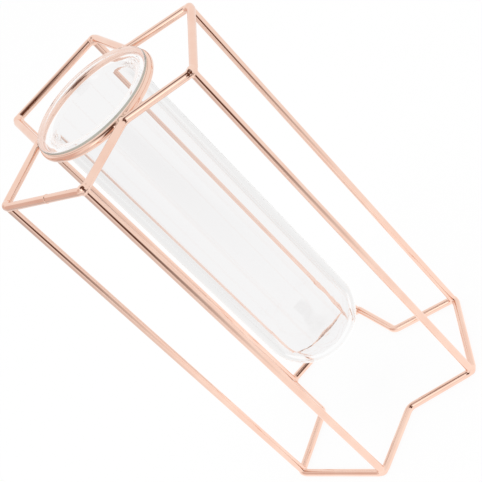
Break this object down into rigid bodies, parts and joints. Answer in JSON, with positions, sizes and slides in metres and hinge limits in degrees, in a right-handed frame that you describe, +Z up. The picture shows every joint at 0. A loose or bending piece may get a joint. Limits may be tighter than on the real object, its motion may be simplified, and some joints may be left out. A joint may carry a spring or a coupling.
{
  "type": "test tube vase",
  "caption": "Clear glass test tube vase that hangs by its flared lip in an open star-shaped stand of polished rose-gold wire, for one or a few flower stems.",
  "frame": {"origin": "on the axis of the stand and tube, at table level, under the bottom wire star", "axes": "+Z up along the axis of the stand and out of the tube's mouth, -Y towards the front notch of the stars"},
  "size_m": [0.0812, 0.0711, 0.1502],
  "materials": {
    "clear_glass": "clear, fire-polished lip",
    "rose_gold_wire": "polished rose-gold plate on iron wire",
    "rose_gold_weld": "smooth plated weld bead"
  },
  "bodies": {
    "stand": {"tube_ring": "rose_gold_wire", "top_star_wire": "rose_gold_wire", "bottom_star_wire": "rose_gold_wire", "front_right_leg": "rose_gold_wire", "right_leg": "rose_gold_wire", "back_right_leg": "rose_gold_wire", "back_left_leg": "rose_gold_wire", "left_leg": "rose_gold_wire", "front_left_leg": "rose_gold_wire", "leg_top_welds": "rose_gold_weld", "leg_foot_welds": "rose_gold_weld", "ring_welds": "rose_gold_weld"},
    "tube": {"glass_tube": "clear_glass"}
  },
  "joints": [
    {"name": "tube_lift", "type": "slide", "parent": "stand", "child": "tube", "axis": [0, 0, 1], "range_m": [0, 0.13]}
  ]
}
